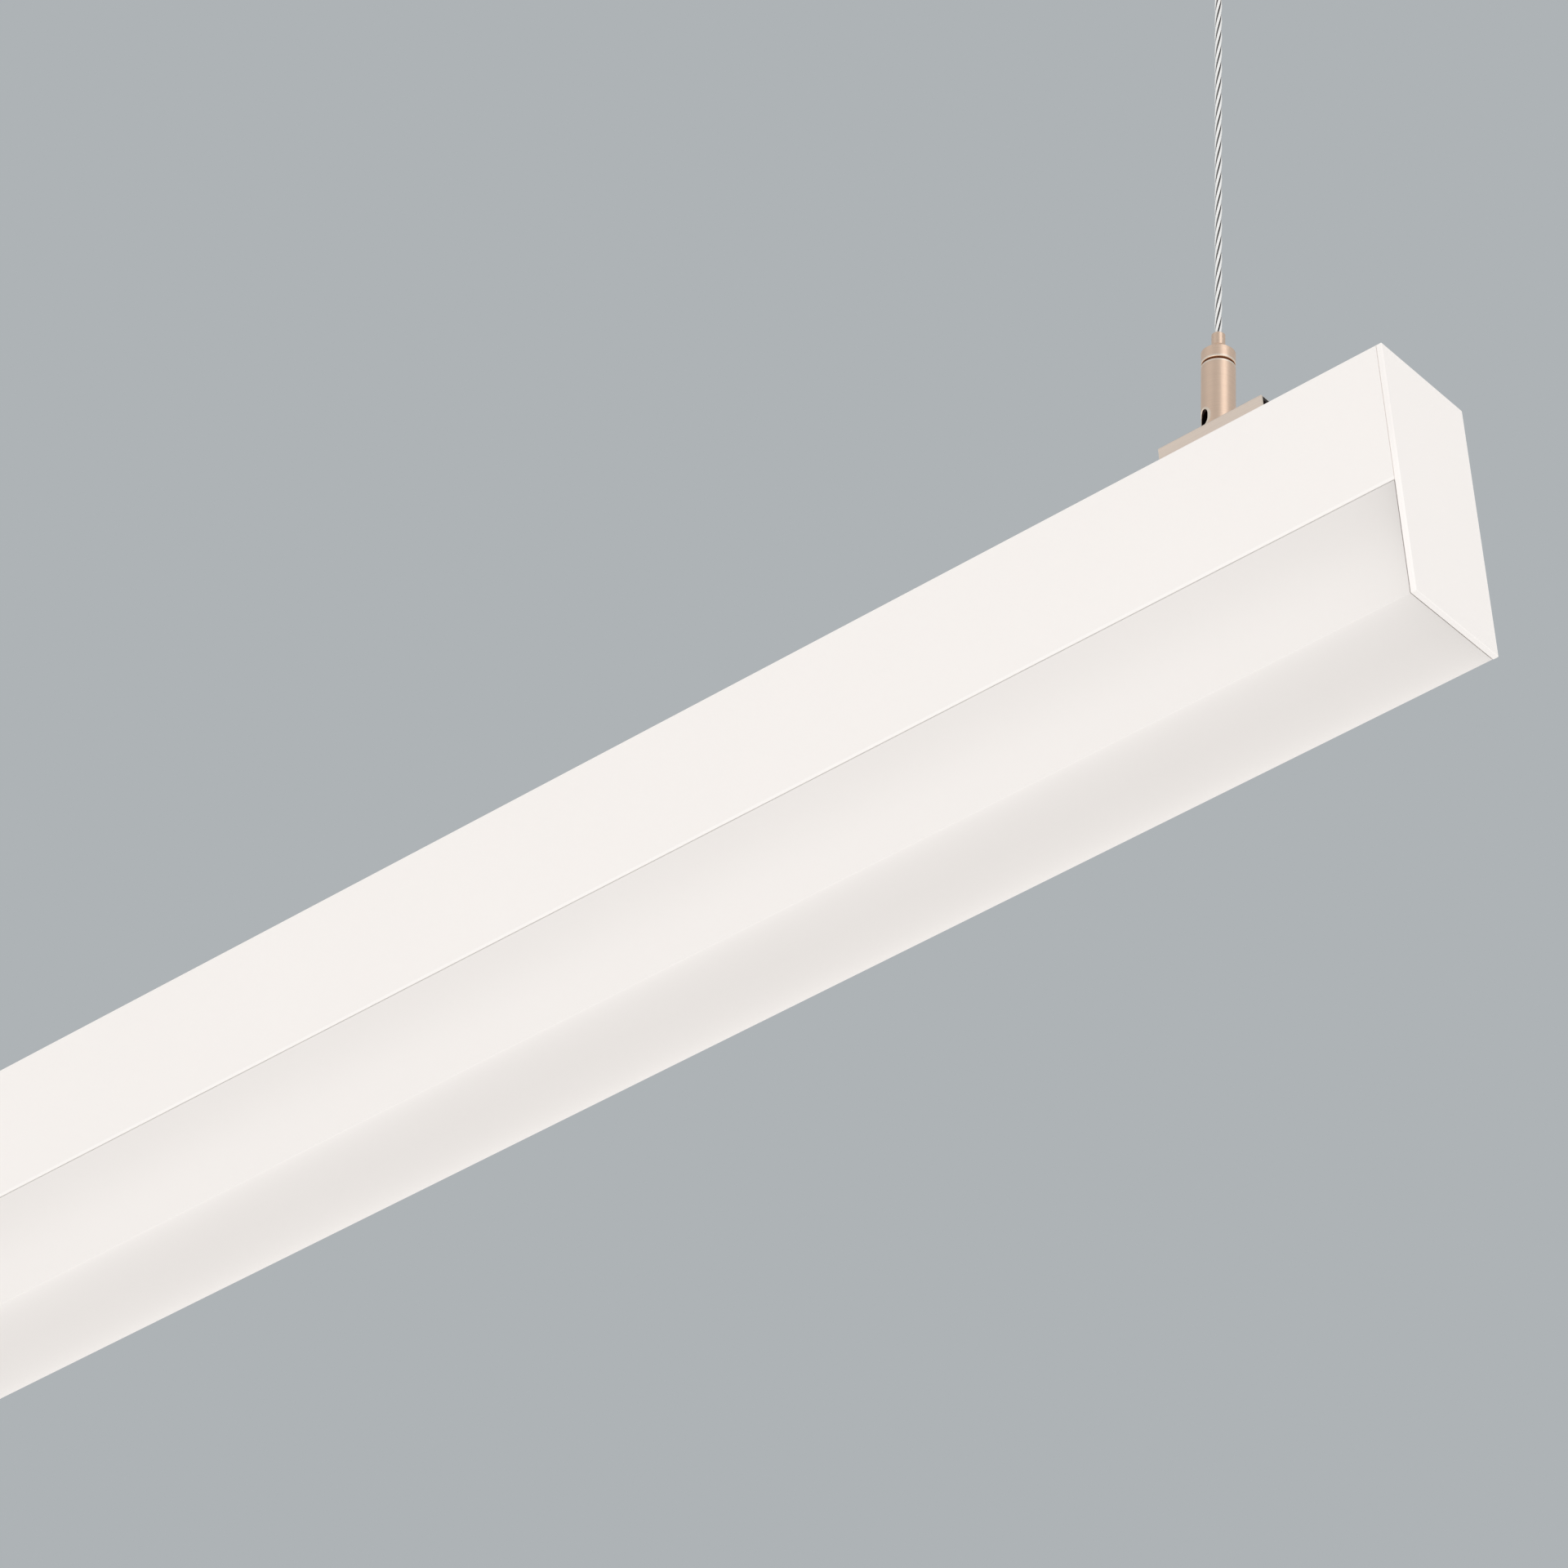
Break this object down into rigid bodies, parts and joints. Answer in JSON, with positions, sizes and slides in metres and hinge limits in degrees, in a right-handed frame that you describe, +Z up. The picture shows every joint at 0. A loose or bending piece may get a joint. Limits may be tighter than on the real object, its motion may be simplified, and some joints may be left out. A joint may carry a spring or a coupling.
{
  "type": "linear pendant light",
  "caption": "Straight linear pendant light: white metal profile with an opal diffuser below it, hung from the ceiling on wire ropes by press-to-release wire grippers.",
  "frame": {"origin": "on the ceiling, midway between the two ceiling fixings", "axes": "+Z up, +X along the light, +Y across it"},
  "size_m": [0.6, 0.038, 0.282],
  "materials": {
    "white_metal": "white powder coat, satin",
    "opal": "opal acrylic, satin",
    "satin_nickel": "satin nickel, brushed",
    "wire": "stranded steel",
    "spring_steel": "bright",
    "zinc": "zinc plated",
    "board": "white solder mask",
    "phosphor": "yellow phosphor",
    "gear_plastic": "moulded",
    "terminal_plastic": "moulded grey",
    "gland_plastic": "moulded light grey",
    "soft_rubber": "soft",
    "brass": "bright",
    "insulation": "insulated copper"
  },
  "bodies": {
    "ceiling_fixings": {"ceiling_barrel_right": "satin_nickel", "ceiling_barrel_left": "satin_nickel", "ceiling_base_right": "satin_nickel", "ceiling_base_left": "satin_nickel"},
    "wires": {"wire_rope_right": "wire", "wire_rope_left": "wire", "wire_end_ball_right": "wire", "wire_end_ball_left": "wire"},
    "hanger_right": {"bracket_right": "satin_nickel", "pivot_pin_right": "satin_nickel", "slot_nut_right": "zinc", "clamp_screw_right": "satin_nickel", "gripper_body_right": "satin_nickel", "gripper_head_right": "satin_nickel", "gripper_spring_right": "spring_steel"},
    "luminaire": {"housing_profile": "white_metal", "end_cap_right": "white_metal", "end_cap_left": "white_metal", "led_board_right": "board", "led_board_left": "board", "leds": "phosphor", "led_board_screws": "zinc", "board_connectors": "gear_plastic", "gear_tray": "zinc", "tray_screws": "zinc", "lead_grommet": "soft_rubber", "driver_case": "gear_plastic", "driver_input_terminal": "terminal_plastic", "driver_output_terminal": "terminal_plastic", "driver_screws": "zinc", "terminal_block": "gear_plastic", "terminal_screws": "brass", "terminal_fixing_screw": "zinc", "earth_tag": "brass", "earth_screw": "zinc", "mains_leads": "insulation", "led_leads": "insulation", "cable_gland": "gland_plastic", "gland_seal": "soft_rubber", "gland_dome": "gland_plastic", "gland_lock_nut": "gland_plastic"},
    "hanger_left": {"bracket_left": "satin_nickel", "pivot_pin_left": "satin_nickel", "slot_nut_left": "zinc", "clamp_screw_left": "satin_nickel", "gripper_body_left": "satin_nickel", "gripper_head_left": "satin_nickel", "gripper_spring_left": "spring_steel"},
    "release_right": {"plunger_right": "satin_nickel", "clamping_balls_right": "spring_steel"},
    "release_left": {"plunger_left": "satin_nickel", "clamping_balls_left": "spring_steel"},
    "diffuser": {"diffuser": "opal"}
  },
  "joints": [
    {"name": "sway", "type": "hinge", "parent": "ceiling_fixings", "child": "wires", "pos_m": [0, 0, -0.0205], "axis": [1, 0, 0], "range_deg": [-10, 10]},
    {"name": "height", "type": "slide", "parent": "wires", "child": "hanger_right", "axis": [0.1143, 0, 0.9934], "range_m": [-0.007, 0.007]},
    {"name": "rail_right", "type": "slide", "parent": "hanger_right", "child": "luminaire", "axis": [1, 0, 0], "range_m": [-0.001, 0.001]},
    {"name": "rail_left", "type": "slide", "parent": "luminaire", "child": "hanger_left", "axis": [1, 0, 0], "range_m": [-0.001, 0.001]},
    {"name": "release_right", "type": "slide", "parent": "hanger_right", "child": "release_right", "axis": [-0.1143, 0, -0.9934], "range_m": [0, 0.002], "stiffness_N_per_m": 300, "springref_m": -0.006, "deforming": ["gripper_spring_right"]},
    {"name": "release_left", "type": "slide", "parent": "hanger_left", "child": "release_left", "axis": [0.1143, 0, -0.9934], "range_m": [0, 0.002], "stiffness_N_per_m": 300, "springref_m": -0.006, "deforming": ["gripper_spring_left"]},
    {"name": "diffuser_pull", "type": "slide", "parent": "luminaire", "child": "diffuser", "axis": [0, 0, -1], "range_m": [0, 0.012]}
  ],
  "couplings": [
    {"joint": "rail_right", "follows": "height", "ratio": -0.11429},
    {"joint": "rail_left", "follows": "height", "ratio": -0.11429}
  ]
}
